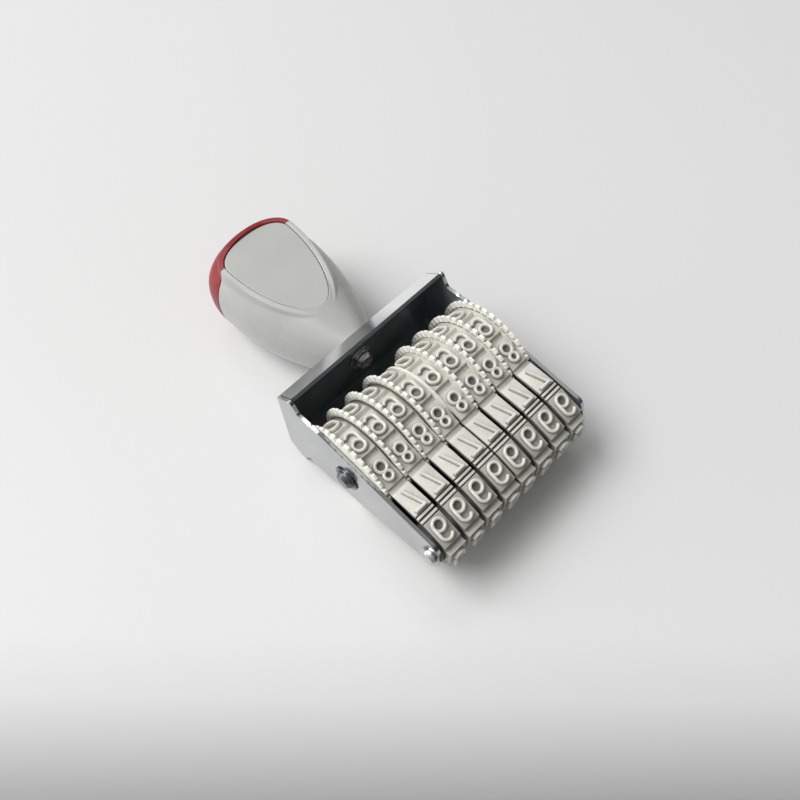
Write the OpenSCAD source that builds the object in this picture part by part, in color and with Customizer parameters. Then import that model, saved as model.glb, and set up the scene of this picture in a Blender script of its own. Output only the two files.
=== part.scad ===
// Rotary number stamp lying on its back, in millimetres.
// X runs across the wheels, Y from the nose to the handle, Z up through the open front.
// The floor is z = 0 and the origin is the middle of the outline on the floor.

/* [Wheels and bands] */
// Width taken by one wheel with its band
wheel_pitch = 5.4; // [5:0.1:6.5]
// Tip radius of the thumb gears
gear_r = 13; // [12.4:0.1:15]
// Thickness of a thumb gear
gear_t = 0.66; // [0.5:0.02:0.8]
// Height of the raised digits
digit_h = 0.95; // [0.6:0.05:1.2]

/* [Frame] */
// Thickness of the bent sheet
sheet = 0.8; // [0.6:0.1:1.2]
// Length of the side plates below the roof
plate_l = 45.6; // [44:0.2:52]
// Half depth of the plates at the nose
nose_z = 5.3; // [5:0.1:6]
// Radius of the axle
axle_r = 2; // [1.6:0.1:2.6]

/* [Handle] */
// Length of the handle above the roof
handle_l = 39; // [36:0.2:48]
// Half width of the handle at its widest
handle_x = 13.4; // [12.4:0.1:16]
// Half width of the handle neck
neck_x = 5; // [4.6:0.1:7]
// Length of the end cap
cap_l = 7.2; // [6:0.1:9]

/* [Hidden] */
$fn = 64;
wheels = 8;
run_gap = 0.1;
fit_gap = 0.05;
shaft_gap = 0.06;
drum_gap = 0.15;
flange_t = 0.2;
flange_r = gear_r - 1.6;
teeth = 40;
tooth_h = 1.25;
tooth_root = 0.4;
tooth_tip = 0.29;
frame_w = wheels * wheel_pitch + 2 * sheet + 2 * run_gap;
inner_w = frame_w - 2 * sheet;
axle_y = 0.443 * plate_l;
rest_h = gear_r;

band_gap = 0.04;
band_w = wheel_pitch - run_gap - gear_t - flange_t - 2 * band_gap;
band_off = (gear_t - flange_t) / 2;
band_r = gear_r - 4;
web_t = 0.85;
pad_t = 1.25;
pad_half = 3.25;
pad_short = 2.8;
pad_slope = 0.2;
pads = 12;
drum_r = band_r - drum_gap;
hub_r = axle_r + shaft_gap;

nose_r = 4;
nose_flat = nose_z - nose_r - 0.9;
nose_in = plate_l + 0.55;
nose_cy = nose_in - nose_r;
run_dy = nose_cy - axle_y;
run_d = norm([run_dy, nose_flat]);
run_a = asin((band_r - nose_r) / run_d) - atan2(nose_flat, run_dy);
run_l = sqrt(run_d * run_d - pow(band_r - nose_r, 2));
rad = PI / 180;
s_flat = nose_flat;
s_turn = s_flat + (nose_r + pad_t) * (90 - run_a) * rad;
s_run = s_turn + run_l;
s_half = s_run + (band_r + pad_t) * (90 + run_a) * rad;
pad_pitch = 2 * s_half / pads;
sway = 0.45;
chord = 2.4;
rib_w = 0.5;
rib_drop = 0.1;
rib_gap = 1;
loop_pts = 120;
stroke = 0.8;
arc_r = 1.3;
arc_y = 1.05;

nose_len = nose_in + pad_t + digit_h;
y_off = (nose_len - handle_l) / 2;

lip_z = gear_r - 0.1;
lip_l = 4.6;
lip_rise = 4;
lip_a = atan2(lip_rise, lip_l);
roof_z = lip_z - lip_rise;
bend_r = sheet + 0.15;
bend_in = bend_r * tan((90 - lip_a) / 2);
dip_z = lip_z - 3.1;
shoulder_z = lip_z - 2.9;
shoulder_y = lip_l + 8.4;
edge_slope = (shoulder_z - nose_z) / (plate_l - shoulder_y);
plate_fillet = 2.4;

bar_l = inner_w - 2 * fit_gap;
bar_d = 7.4;
screw_y = plate_l - 1.7;
screw_r = 1.1;
screw_in = 6;
screw_head_r = 2.2;
screw_head_h = 1.2;
washer_r = 3.1;
washer_t = 0.4;
stake_r = 2.5;
stake_h = 1.1;

bolt_r = 1.5;
bolt_in = 15;
bolt_head_r = 2.4;
bolt_head_h = 1.9;
bolt_washer_r = 3.1;
bolt_washer_t = 0.6;

body_l = handle_l - cap_l;
neck_z = gear_r - 5.4;
deep_z = gear_r - 0.1;
section_n = 2.3;
ring_pts = 40;
rings = 15;
cap_rings = 8;
plug_r = 5;
plug_l = 4;
panel_t = 1;
panel_x = 0.68 * handle_x;
panel_tip = 0.305 * body_l;
panel_low = gear_r - 3.8;
panel_tilt = 5.2;
panel_wide = body_l - 1 - panel_tip;
panel_end = handle_l - 3.2 - panel_tip;
panel_gap = 0.08;
collar_w = 1.5;
collar_h = 0.3;
collar_d = 4;
cap_turn = 86;

module place() {
    translate([0, y_off, rest_h]) children();
}

// Lays a flat profile drawn in (Y, Z) across X, from x0 over a width w
module across(x0, w) {
    translate([x0, 0, 0]) rotate([90, 0, 90]) linear_extrude(height = w) children();
}

// Turns a solid drawn along Z so that it runs along X
module along_x() {
    rotate([0, 90, 0]) children();
}

// Turns a solid drawn along Z so that it runs along Y
module along_y() {
    rotate([-90, 0, 0]) children();
}

function ease(u) = (1 - cos(180 * u)) / 2;
function edge_z(y) = shoulder_z - (y - shoulder_y) * edge_slope;
// Bend between the roof and its sloping lip, at a radius r
function lip_bend(r) = [for (i = [0 : 5]) let (a = (90 - lip_a) * i / 5)
    [-bend_r + r * cos(a), roof_z - bend_in + r * sin(a)]];
function half_plate() = concat(
    lip_bend(bend_r),
    [[-lip_l, lip_z]],
    [for (i = [0 : 6]) [-lip_l - 0.3 - 2.3 * i / 6, lip_z + (dip_z - lip_z) * ease(i / 6)]],
    [for (i = [0 : 6]) [
        -shoulder_y + 3.4 * (1 - i / 6),
        dip_z + (shoulder_z - dip_z) * ease(i / 6)
    ]],
    [for (i = [0 : 6]) fillet_pt(i / 6)]
);
function fillet_pt(u) = let (
    a = atan(edge_slope),
    cy = plate_l - plate_fillet,
    cz = edge_z(cy) - plate_fillet / cos(a),
    t = 90 - a + u * (90 + a)
) [-cy + plate_fillet * cos(t), cz + plate_fillet * sin(t)];

module plate_outline() {
    front = half_plate();
    count = len(front);
    polygon(concat(front, [for (i = [count - 1 : -1 : 0]) [front[i][0], -front[i][1]]]));
}

// Roof and side plates as one bent strip, seen from the front
module bent_strip() {
    far = plate_l + 1;
    difference() {
        union() {
            translate([-frame_w / 2, -far]) square([frame_w, far - bend_r]);
            translate([-frame_w / 2 + bend_r, -bend_r - 0.1]) square([frame_w - 2 * bend_r, bend_r + 0.1]);
            for (side = [-1, 1])
                translate([side * (frame_w / 2 - bend_r), -bend_r]) circle(bend_r);
        }
        translate([-inner_w / 2, -far - 1]) square([inner_w, far + 1 - bend_r]);
        translate([-inner_w / 2 + bend_r - sheet, -bend_r - 1])
            square([inner_w - 2 * (bend_r - sheet), bend_r + 1 - sheet]);
        for (side = [-1, 1])
            translate([side * (frame_w / 2 - bend_r), -bend_r]) circle(bend_r - sheet);
    }
}

module lip_profile(side) {
    inner = lip_bend(bend_r - sheet);
    tip = [-lip_l, lip_z];
    low = roof_z - 2 * bend_r;
    mirror([0, side]) polygon(concat(
        [[0, low]],
        lip_bend(bend_r),
        [tip, tip - sheet * [sin(lip_a), cos(lip_a)]],
        [for (i = [len(inner) - 1 : -1 : 0]) inner[i]],
        [[-sheet, low]]
    ));
}

module frame() {
    color("silver") place() difference() {
        union() {
            intersection() {
                translate([0, 0, -lip_z - 1]) linear_extrude(height = 2 * lip_z + 2) bent_strip();
                across(-frame_w / 2 - 1, frame_w + 2) plate_outline();
            }
            for (side = [0, 1])
                across(-frame_w / 2 + bend_r, frame_w - 2 * bend_r) lip_profile(side);
        }
        translate([-frame_w, -axle_y, 0]) along_x() cylinder(r = axle_r + fit_gap, h = 2 * frame_w);
        translate([-frame_w, -screw_y, 0]) along_x() cylinder(r = screw_r + fit_gap, h = 2 * frame_w);
        translate([0, -sheet - 1, 0]) along_y() cylinder(r = bolt_r + fit_gap, h = sheet + 2);
    }
}

module axle() {
    half = frame_w / 2 + washer_t;
    color("gray") place() translate([0, -axle_y, 0]) {
        translate([-half, 0, 0]) along_x() cylinder(r = axle_r, h = 2 * half);
        for (side = [0, 1])
            mirror([side, 0, 0]) translate([half, 0, 0]) along_x() stake();
    }
}

// Upset end of the axle: a low cone with a flat tip
module stake() {
    cylinder(r1 = stake_r, r2 = stake_r - 0.9, h = stake_h);
}

module axle_washers() {
    color("lightgray") place() for (side = [-1, 1])
        translate([side > 0 ? frame_w / 2 : -frame_w / 2 - washer_t, -axle_y, 0]) along_x() difference() {
            cylinder(r = washer_r, h = washer_t);
            translate([0, 0, -1]) cylinder(r = axle_r + fit_gap, h = washer_t + 2);
        }
}

module bar_profile() {
    r = nose_r - fit_gap;
    translate([-nose_cy, -nose_flat - r]) square([bar_d - r, 2 * (nose_flat + r)]);
    translate([-nose_cy - r, -nose_flat]) square([r + 0.1, 2 * nose_flat]);
    for (side = [-1, 1])
        translate([-nose_cy, side * nose_flat]) circle(r);
}

module nose_bar() {
    color("dimgray") place() difference() {
        across(-bar_l / 2, bar_l) bar_profile();
        for (side = [-1, 1])
            translate([side > 0 ? bar_l / 2 - screw_in - 0.5 : -bar_l / 2 - 1, -screw_y, 0])
                along_x() cylinder(r = screw_r + fit_gap, h = screw_in + 1.5);
    }
}

module nose_screws() {
    color("gainsboro") place() for (side = [0, 1])
        mirror([side, 0, 0]) translate([0, -screw_y, 0]) along_x() rotate_extrude() polygon([
            [0, bar_l / 2 - screw_in],
            [screw_r, bar_l / 2 - screw_in],
            [screw_r, frame_w / 2],
            [screw_head_r, frame_w / 2],
            [screw_head_r, frame_w / 2 + 0.4 * screw_head_h],
            [screw_head_r - 0.5, frame_w / 2 + screw_head_h],
            [0, frame_w / 2 + screw_head_h]
        ]);
}

function wheel_x(k) = (k - (wheels + 1) / 2) * wheel_pitch;
function wheel_flip(k) = k > wheels / 2 ? 1 : 0;
function tooth_pt(i, f, r) = [r * cos((i + f) * 360 / teeth), r * sin((i + f) * 360 / teeth)];

module gear_profile() {
    root = gear_r - tooth_h;
    polygon([for (i = [0 : teeth - 1]) each [
        tooth_pt(i, -tooth_root, root),
        tooth_pt(i, -tooth_tip, gear_r),
        tooth_pt(i, tooth_tip, gear_r),
        tooth_pt(i, tooth_root, root)
    ]]);
}

// One number wheel: drum, thumb gear on one side, plain flange on the other
module wheel(k) {
    width = wheel_pitch - run_gap;
    color("ivory") place() translate([wheel_x(k), -axle_y, 0]) mirror([wheel_flip(k), 0, 0])
        translate([-width / 2, 0, 0]) along_x() difference() {
            union() {
                cylinder(r = drum_r, h = width);
                linear_extrude(height = gear_t) gear_profile();
                translate([0, 0, width - flange_t]) cylinder(r = flange_r, h = flange_t);
            }
            translate([0, 0, -1]) cylinder(r = hub_r, h = width + 2);
        }
}

// Point at a distance s along the pad line from the middle of the print face, t outside
// the inner face of the band, on the front half
function half_pt(s, t) =
    s < s_flat ? [-nose_in - t, s] :
    s < s_turn ? let (a = 180 - (s - s_flat) / (nose_r + pad_t) / rad)
        [-nose_cy + (nose_r + t) * cos(a), nose_flat + (nose_r + t) * sin(a)] :
    s < s_run ? let (a = 90 + run_a, d = s - s_turn, r = nose_r + t + wave(s))
        [-nose_cy + r * cos(a) + d * cos(run_a),
         nose_flat + r * sin(a) + d * sin(run_a)] :
    let (a = 90 + run_a - (s - s_run) / (band_r + pad_t) / rad)
        [-axle_y + (band_r + t) * cos(a), (band_r + t) * sin(a)];
// The slack run stands out a little after the nose and dips before the wheel
function wave(s) = s > pad_pitch && s < 3 * pad_pitch ? -sway * sin(180 * (s / pad_pitch - 2)) : 0;
function loop_pt(s, t) = let (
    w = s > s_half ? s - 2 * s_half : s < -s_half ? s + 2 * s_half : s,
    p = half_pt(abs(w), t)
) [p[0], w < 0 ? -p[1] : p[1]];
function loop_dir(s) = let (c = loop_pt(s + chord, pad_t) - loop_pt(s - chord, pad_t)) c / norm(c);

// Corners of a raised block on the loop: its top reaches from a before s to b after it, v above the pad line,
// and its foot is wider by the slope
function block(s, a, b, v, slope) = let (
    p = loop_pt(s, pad_t),
    d = loop_dir(s),
    top = p + v * [-d[1], d[0]]
) [loop_pt(s - a - slope, web_t), top - d * a, top + d * b, loop_pt(s + b + slope, web_t)];
function pad(i) = let (
    a = i == rib_gap + 1 ? pad_short : pad_half,
    b = i == rib_gap ? pad_short : pad_half
) block(i * pad_pitch, a, b, 0, pad_slope);
function rib(s) = block(s, rib_w / 2, rib_w / 2, -rib_drop, 0);

module band_profile() {
    difference() {
        polygon([for (i = [1 - pads / 2 : pads / 2]) each concat(
            pad(i),
            i == rib_gap ? rib((i + 0.5) * pad_pitch - rib_w) : [],
            i == rib_gap ? rib((i + 0.5) * pad_pitch + rib_w) : []
        )]);
        polygon([for (i = [0 : loop_pts - 1]) loop_pt((2 * i / loop_pts - 1) * s_half, 0)]);
    }
}

module on_loop(s) {
    p = loop_pt(s, pad_t);
    d = loop_dir(s);
    translate([0, p[0], p[1]]) rotate([atan2(d[1], d[0]), 0, 0]) children();
}

module band(k) {
    flip = wheel_flip(k);
    color("oldlace") place() translate([wheel_x(k) + (flip ? -band_off : band_off), 0, 0]) {
        across(-band_w / 2, band_w) band_profile();
        for (i = [2 - pads / 2 : pads / 2 - 1])
            on_loop(i * pad_pitch) translate([0, 0, -0.1]) linear_extrude(height = digit_h + 0.1)
                rotate(180) mirror([1, 0, 0]) digit((i + 5) % 10);
    }
}

module ring(r) {
    difference() {
        circle(r + stroke / 2, $fn = 32);
        circle(r - stroke / 2, $fn = 32);
    }
}

// Part of a ring from angle a0 anticlockwise to a1
module arc(r, a0, a1) {
    n = 10;
    polygon(concat(
        [for (i = [0 : n]) let (a = a0 + (a1 - a0) * i / n) (r + stroke / 2) * [cos(a), sin(a)]],
        [for (i = [n : -1 : 0]) let (a = a0 + (a1 - a0) * i / n) (r - stroke / 2) * [cos(a), sin(a)]]
    ));
}

function oval(r) = [for (i = [0 : 23]) let (a = i * 15 + 7.5) [r * cos(a), (a < 180 ? arc_y : -arc_y) + r * sin(a)]];

module bar(x0, y0, x1, y1) {
    d = [x1 - x0, y1 - y0];
    n = [-d[1], d[0]] / norm(d) * stroke / 2;
    polygon([[x0, y0] + n, [x0, y0] - n, [x1, y1] - n, [x1, y1] + n]);
}

module digit(d) {
    edge = arc_r + stroke / 2;
    top = arc_y + edge;
    if (d == 0) difference() {
        polygon(oval(arc_r + stroke / 2));
        polygon(oval(arc_r - stroke / 2));
    }
    if (d == 1) {
        bar(0.3, -top, 0.3, top);
        bar(-0.9, 1.2, 0.3, top - 0.4);
    }
    if (d == 2) {
        translate([0, arc_y]) arc(arc_r, -35, 170);
        bar(0.95, 0.4, -1.1, -top + 0.5);
        bar(-edge, -top + stroke / 2, edge, -top + stroke / 2);
    }
    if (d == 3) {
        translate([0, 1.2]) arc(1, -90, 160);
        translate([0, -arc_y]) arc(arc_r, -160, 90);
    }
    if (d == 4) {
        bar(0.5, -top, 0.5, top);
        bar(0.5, top - 0.3, -1.4, -0.9);
        bar(-edge - 0.1, -1, edge + 0.1, -1);
    }
    if (d == 5) {
        translate([-0.1, -0.85]) arc(1.35, -145, 125);
        bar(-1, 0, -1, top);
        bar(-1.3, top - stroke / 2, 1.3, top - stroke / 2);
    }
    if (d == 6) six();
    if (d == 7) {
        bar(-edge, top - stroke / 2, edge, top - stroke / 2);
        bar(1.05, top - 0.4, -0.3, -top);
    }
    if (d == 8) {
        translate([0, 1.25]) ring(0.95);
        translate([0, -0.97]) ring(1.23);
    }
    if (d == 9) rotate(180) six();
}

// The tail is a little thinner than the ring that it runs out of
module six() {
    thin = stroke / 2 - 0.03;
    n = 8;
    translate([0, -arc_y]) ring(arc_r);
    polygon(concat(
        [[-arc_r - thin, -arc_y + 0.2]],
        [for (i = [0 : n]) let (a = 180 - 145 * i / n) [0, arc_y] + (arc_r + thin) * [cos(a), sin(a)]],
        [for (i = [n : -1 : 0]) let (a = 180 - 145 * i / n) [0, arc_y] + (arc_r - thin) * [cos(a), sin(a)]],
        [[-arc_r + thin, -arc_y + 0.2]]
    ));
}

function grow(y, l, from, to, p) = from + (to - from) * pow(sin(90 * min(1, max(0, y / l))), p);
function body_x(y) = grow(y, 0.86 * body_l, neck_x, handle_x, 0.78);
function body_z(y) = grow(y, body_l, neck_z, deep_z, 1.25);
function signed_pow(v, p) = v < 0 ? -pow(-v, p) : pow(v, p);
function section(y, fx, fz) = [for (i = [0 : ring_pts - 1]) let (a = (i + 0.5) * 360 / ring_pts) [
    fx * body_x(y) * signed_pow(cos(a), 2 / section_n),
    y,
    fz * body_z(y) * signed_pow(sin(a), 2 / section_n)
]];

// Closed skin over a list of sections running in +Y
module skin(sections) {
    count = len(sections);
    pts = [for (s = sections) each s];
    sides = [for (j = [0 : count - 2], i = [0 : ring_pts - 1]) let (
        k = (i + 1) % ring_pts,
        a = j * ring_pts + i,
        b = j * ring_pts + k,
        c = a + ring_pts,
        d = b + ring_pts
    ) each [[a, b, c], [b, d, c]]];
    first = [for (i = [ring_pts - 1 : -1 : 0]) i];
    last = [for (i = [0 : ring_pts - 1]) (count - 1) * ring_pts + i];
    polyhedron(points = pts, faces = concat(sides, [first, last]));
}

// The panel's plane starts at its tip and climbs a little towards the cap
module on_panel(side) {
    mirror([0, 0, side]) translate([0, panel_tip, panel_low]) rotate([panel_tilt, 0, 0]) children();
}

// Half width of the tongue-shaped panel: a curved tip and a rounded end inside the cap
function panel_half(y) = y < panel_wide ?
    panel_x * pow(sin(90 * y / panel_wide), 0.48) :
    panel_x * pow(1 - pow((y - panel_wide) / (panel_end - panel_wide), 2.2), 1 / 2.2);
function panel_edge(n) = concat(
    [[0, 0]],
    [for (i = [1 : n]) let (y = panel_wide * pow(i / n, 2)) [panel_half(y), y]],
    [for (i = [1 : n - 1]) let (y = panel_wide + (panel_end - panel_wide) * sin(90 * i / n)) [panel_half(y), y]],
    [[0, panel_end]]
);
function edge_out(p, i) =
    i == 0 ? [0, -1] :
    i == len(p) - 1 ? [0, 1] :
    let (d = p[i + 1] - p[i - 1]) [d[1], -d[0]] / norm(d);

module panel_outline(gap) {
    edge = panel_edge(12);
    right = [for (i = [0 : len(edge) - 1]) edge[i] + gap * edge_out(edge, i)];
    polygon(concat(right, [for (i = [len(right) - 2 : -1 : 1]) [-right[i][0], right[i][1]]]));
}

module panel_pockets() {
    for (side = [0, 1])
        on_panel(side) translate([0, 0, -panel_t - panel_gap]) linear_extrude(height = gear_r)
            panel_outline(panel_gap);
}

// Raised rim round the panels, as far as it lies between two heights above the roof
module collars(low, high) {
    intersection() {
        for (side = [0, 1])
            on_panel(side) translate([0, 0, -collar_d]) linear_extrude(height = collar_d + collar_h)
                panel_outline(collar_w);
        translate([-handle_x, low, -gear_r]) cube([2 * handle_x, high - low, 2 * gear_r]);
    }
}

module handle_body() {
    color("whitesmoke") place() difference() {
        union() {
            skin([for (j = [0 : rings - 1]) section(body_l * j / (rings - 1), 1, 1)]);
            collars(0, body_l);
        }
        panel_pockets();
        translate([0, -1, 0]) along_y() cylinder(r = bolt_r + fit_gap, h = bolt_in + 2);
        translate([0, body_l - plug_l - 0.5, 0]) along_y() cylinder(r = plug_r + fit_gap, h = plug_l + 2);
    }
}

module handle_cap() {
    y0 = body_l + 0.04;
    color("crimson") place() {
        difference() {
            union() {
                skin([for (j = [0 : cap_rings]) let (a = cap_turn * j / cap_rings)
                    [for (p = section(body_l, pow(cos(a), 0.27), pow(cos(a), 0.32)))
                        [p[0], y0 + (handle_l - y0) * sin(a) / sin(cap_turn), p[2]]]]);
                collars(y0, handle_l);
            }
            panel_pockets();
        }
        translate([0, body_l - plug_l, 0]) along_y() cylinder(r = plug_r, h = plug_l + 1);
    }
}

module panel(side) {
    color("lightgray") place() on_panel(side) translate([0, 0, -panel_t])
        linear_extrude(height = panel_t) panel_outline(0);
}

module front_panel() {
    panel(0);
}

module back_panel() {
    panel(1);
}

module handle_screw() {
    seat = sheet + bolt_washer_t;
    color("gray") place() difference() {
        translate([0, -seat, 0]) along_y() rotate_extrude() polygon([
            [0, -bolt_head_h],
            [bolt_head_r - 0.7, -bolt_head_h],
            [bolt_head_r, -bolt_head_h + 0.9],
            [bolt_head_r, 0],
            [bolt_r, 0],
            [bolt_r, seat + bolt_in],
            [0, seat + bolt_in + 0.8]
        ]);
        for (turn = [0, 90])
            translate([0, -seat - bolt_head_h, 0]) rotate([0, turn, 0]) cube([2.9, 1.6, 0.6], center = true);
    }
}

module handle_washer() {
    color("gray") place() translate([0, -sheet - bolt_washer_t, 0]) along_y() difference() {
        cylinder(r = bolt_washer_r, h = bolt_washer_t);
        translate([0, 0, -1]) cylinder(r = bolt_r + fit_gap, h = bolt_washer_t + 2);
    }
}

frame();
axle();
axle_washers();
nose_bar();
nose_screws();
wheel(1);  // wheel_1
wheel(2);  // wheel_2
wheel(3);  // wheel_3
wheel(4);  // wheel_4
wheel(5);  // wheel_5
wheel(6);  // wheel_6
wheel(7);  // wheel_7
wheel(8);  // wheel_8
band(1);  // band_1
band(2);  // band_2
band(3);  // band_3
band(4);  // band_4
band(5);  // band_5
band(6);  // band_6
band(7);  // band_7
band(8);  // band_8
handle_body();
handle_cap();
front_panel();
back_panel();
handle_screw();
handle_washer();
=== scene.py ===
import math
import bpy
import bmesh
from mathutils import Matrix, Vector


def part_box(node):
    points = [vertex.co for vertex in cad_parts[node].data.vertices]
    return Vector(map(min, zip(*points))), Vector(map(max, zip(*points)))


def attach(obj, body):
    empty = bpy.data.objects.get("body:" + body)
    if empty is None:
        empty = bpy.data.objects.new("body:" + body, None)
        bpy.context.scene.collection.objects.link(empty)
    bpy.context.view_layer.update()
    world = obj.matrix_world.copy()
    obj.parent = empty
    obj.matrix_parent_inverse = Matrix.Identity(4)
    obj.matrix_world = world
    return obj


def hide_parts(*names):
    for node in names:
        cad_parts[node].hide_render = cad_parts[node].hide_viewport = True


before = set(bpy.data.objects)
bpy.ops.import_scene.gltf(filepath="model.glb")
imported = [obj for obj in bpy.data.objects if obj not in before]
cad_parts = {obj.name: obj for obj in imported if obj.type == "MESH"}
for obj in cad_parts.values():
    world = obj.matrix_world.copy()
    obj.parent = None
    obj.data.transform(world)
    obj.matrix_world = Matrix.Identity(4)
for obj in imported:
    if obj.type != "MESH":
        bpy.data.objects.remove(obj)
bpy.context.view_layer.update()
mm = 0.001
mergeGap = 2e-6  # points closer than this are one
flatAngle = 0.6  # faces that turn less than this, in degrees, are one
noiseLow, noiseHigh = 0.3, 0.7  # the part of a noise value that a finish uses

# places shared by all the pieces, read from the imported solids
axleLow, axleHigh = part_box("axle")
axleY = (axleLow[1] + axleHigh[1]) / 2
axleZ = (axleLow[2] + axleHigh[2]) / 2
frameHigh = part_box("frame")[1]
roofY = frameHigh[1]
plateX = frameHigh[0]  # outer face of the right side plate


# helpers for meshes

def addPiece(name, verts, faces, material, sharp=35):
    mesh = bpy.data.meshes.new(name)
    mesh.from_pydata([tuple(v) for v in verts], [], faces)
    mesh.materials.append(material)
    obj = bpy.data.objects.new(name, mesh)
    bpy.context.scene.collection.objects.link(obj)
    cleanMesh(mesh, sharp)
    return obj


def cleanMesh(mesh, sharp):
    bm = bmesh.new()
    bm.from_mesh(mesh)
    bmesh.ops.remove_doubles(bm, verts=bm.verts, dist=mergeGap)
    bmesh.ops.dissolve_degenerate(bm, edges=bm.edges, dist=1e-7)
    bmesh.ops.recalc_face_normals(bm, faces=bm.faces)
    bm.to_mesh(mesh)
    bm.free()
    shadeByAngle(mesh, sharp)


def smoothFaces(mesh):
    for poly in mesh.polygons:
        poly.use_smooth = True


def shadeByAngle(mesh, sharp):
    smoothFaces(mesh)
    mesh.set_sharp_from_angle(angle=math.radians(sharp))


def bakeModifiers(obj):
    # turns the evaluated shape into a plain mesh and drops the modifiers
    smoothFaces(obj.data)
    depsgraph = bpy.context.evaluated_depsgraph_get()
    mesh = bpy.data.meshes.new_from_object(obj.evaluated_get(depsgraph))
    obj.modifiers.clear()
    obj.data = mesh


def softenEdges(obj, width, segments, angle):
    # rounds the edges over angle; the flat sides between them stay flat in their reflections
    bevel = obj.modifiers.new("softEdges", "BEVEL")
    bevel.width = width
    bevel.segments = segments
    bevel.limit_method = "ANGLE"
    bevel.angle_limit = math.radians(angle)
    flat = obj.modifiers.new("flatSides", "WEIGHTED_NORMAL")
    flat.weight = 100
    flat.keep_sharp = True
    bakeModifiers(obj)


def solidCopy(node, name, material):
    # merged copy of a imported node, with the flat triangles joined again
    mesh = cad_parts[node].data.copy()
    mesh.name = name
    mesh.materials.clear()
    mesh.materials.append(material)
    bm = bmesh.new()
    bm.from_mesh(mesh)
    bmesh.ops.remove_doubles(bm, verts=bm.verts, dist=mergeGap)
    bmesh.ops.dissolve_limit(bm, angle_limit=math.radians(flatAngle), verts=bm.verts, edges=bm.edges)
    bm.to_mesh(mesh)
    bm.free()
    obj = bpy.data.objects.new(name, mesh)
    bpy.context.scene.collection.objects.link(obj)
    return obj


def turned(profile, steps, start, flip):
    # turns (along X, radius) pairs in mm round the X axis; returns points and faces
    verts = []
    for along, radius in profile:
        x = start[0] + (-along if flip else along) * mm
        for i in range(steps):
            a = 2 * math.pi * i / steps
            y, z = radius * mm * math.cos(a), radius * mm * math.sin(a)
            verts.append((x, start[1] + y, start[2] + z))
    faces = []
    for j in range(len(profile) - 1):
        for i in range(steps):
            k = (i + 1) % steps
            low, high = j * steps, (j + 1) * steps
            faces.append((low + i, low + k, high + k, high + i))
    return verts, faces


# helpers for materials

def newFinish(name):
    mat = bpy.data.materials.new(name)
    mat.use_nodes = True
    nodes = mat.node_tree.nodes
    return mat, nodes, mat.node_tree.links, nodes["Principled BSDF"]


def objectNoise(nodes, links, scale, detail=4, stretch=(1, 1, 1)):
    coord = nodes.new("ShaderNodeTexCoord")
    mapping = nodes.new("ShaderNodeMapping")
    mapping.inputs["Scale"].default_value = stretch
    noise = nodes.new("ShaderNodeTexNoise")
    noise.inputs["Scale"].default_value = scale
    noise.inputs["Detail"].default_value = detail
    links.new(coord.outputs["Object"], mapping.inputs["Vector"])
    links.new(mapping.outputs["Vector"], noise.inputs["Vector"])
    return noise.outputs["Fac"]


def ramp(nodes, links, value, stops):
    node = nodes.new("ShaderNodeValToRGB")
    elements = node.color_ramp.elements
    while len(elements) < len(stops):
        elements.new(0.5)
    for element, (pos, colour) in zip(elements, stops):
        element.position = pos
        element.color = (*colour, 1)
    links.new(value, node.inputs["Fac"])
    return node.outputs["Color"]


def mapValue(nodes, links, value, fromLow, fromHigh, low, high):
    node = nodes.new("ShaderNodeMapRange")
    node.inputs["From Min"].default_value = fromLow
    node.inputs["From Max"].default_value = fromHigh
    node.inputs["To Min"].default_value = low
    node.inputs["To Max"].default_value = high
    links.new(value, node.inputs["Value"])
    return node.outputs["Result"]


def tint(nodes, links, value, low, high):
    return ramp(nodes, links, value, [(noiseLow, low), (noiseHigh, high)])


def roughen(nodes, links, bsdf, value, rough, top=noiseHigh):
    result = mapValue(nodes, links, value, noiseLow, top, *rough)
    links.new(result, bsdf.inputs["Roughness"])


def vectorMath(nodes, operation, value=None):
    node = nodes.new("ShaderNodeVectorMath")
    node.operation = operation
    if value is not None:
        node.inputs[1].default_value = value
    return node


def pointValue(nodes, name):
    node = nodes.new("ShaderNodeAttribute")
    node.attribute_name = name
    return node.outputs["Fac"]


def softenLight(bsdf, weight, radius, scale):
    bsdf.inputs["Subsurface Weight"].default_value = weight
    bsdf.inputs["Subsurface Radius"].default_value = radius
    bsdf.inputs["Subsurface Scale"].default_value = scale


def addBump(nodes, links, bsdf, value, strength, distance):
    bump = nodes.new("ShaderNodeBump")
    bump.inputs["Strength"].default_value = strength
    bump.inputs["Distance"].default_value = distance
    links.new(value, bump.inputs["Height"])
    links.new(bump.outputs["Normal"], bsdf.inputs["Normal"])


def multiply(nodes, links, colour, factor):
    node = nodes.new("ShaderNodeMix")
    node.data_type = "RGBA"
    node.blend_type = "MULTIPLY"
    node.inputs["Factor"].default_value = 1
    links.new(colour, node.inputs["A"])
    links.new(factor, node.inputs["B"])
    return node.outputs["Result"]


# finishes

# lengths of the finishes are in metres; a bump is its strength and its depth
chromeFinish = {
    "low": (0.41, 0.415, 0.42), "high": (0.48, 0.485, 0.49), "cloud": 140,
    # painted reflection: colour and span of the brighter right end of the lip
    "paintedReflection": (0.97, 0.97, 0.96, 1), "reflectionStart": 0.002, "reflectionEnd": 0.009, "lipFacing": (0.5, 0.7),
    "scratch": 260, "scratchWay": (1, 9, 1), "scratchTop": 0.75, "rough": (0.07, 0.2),
}
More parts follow.
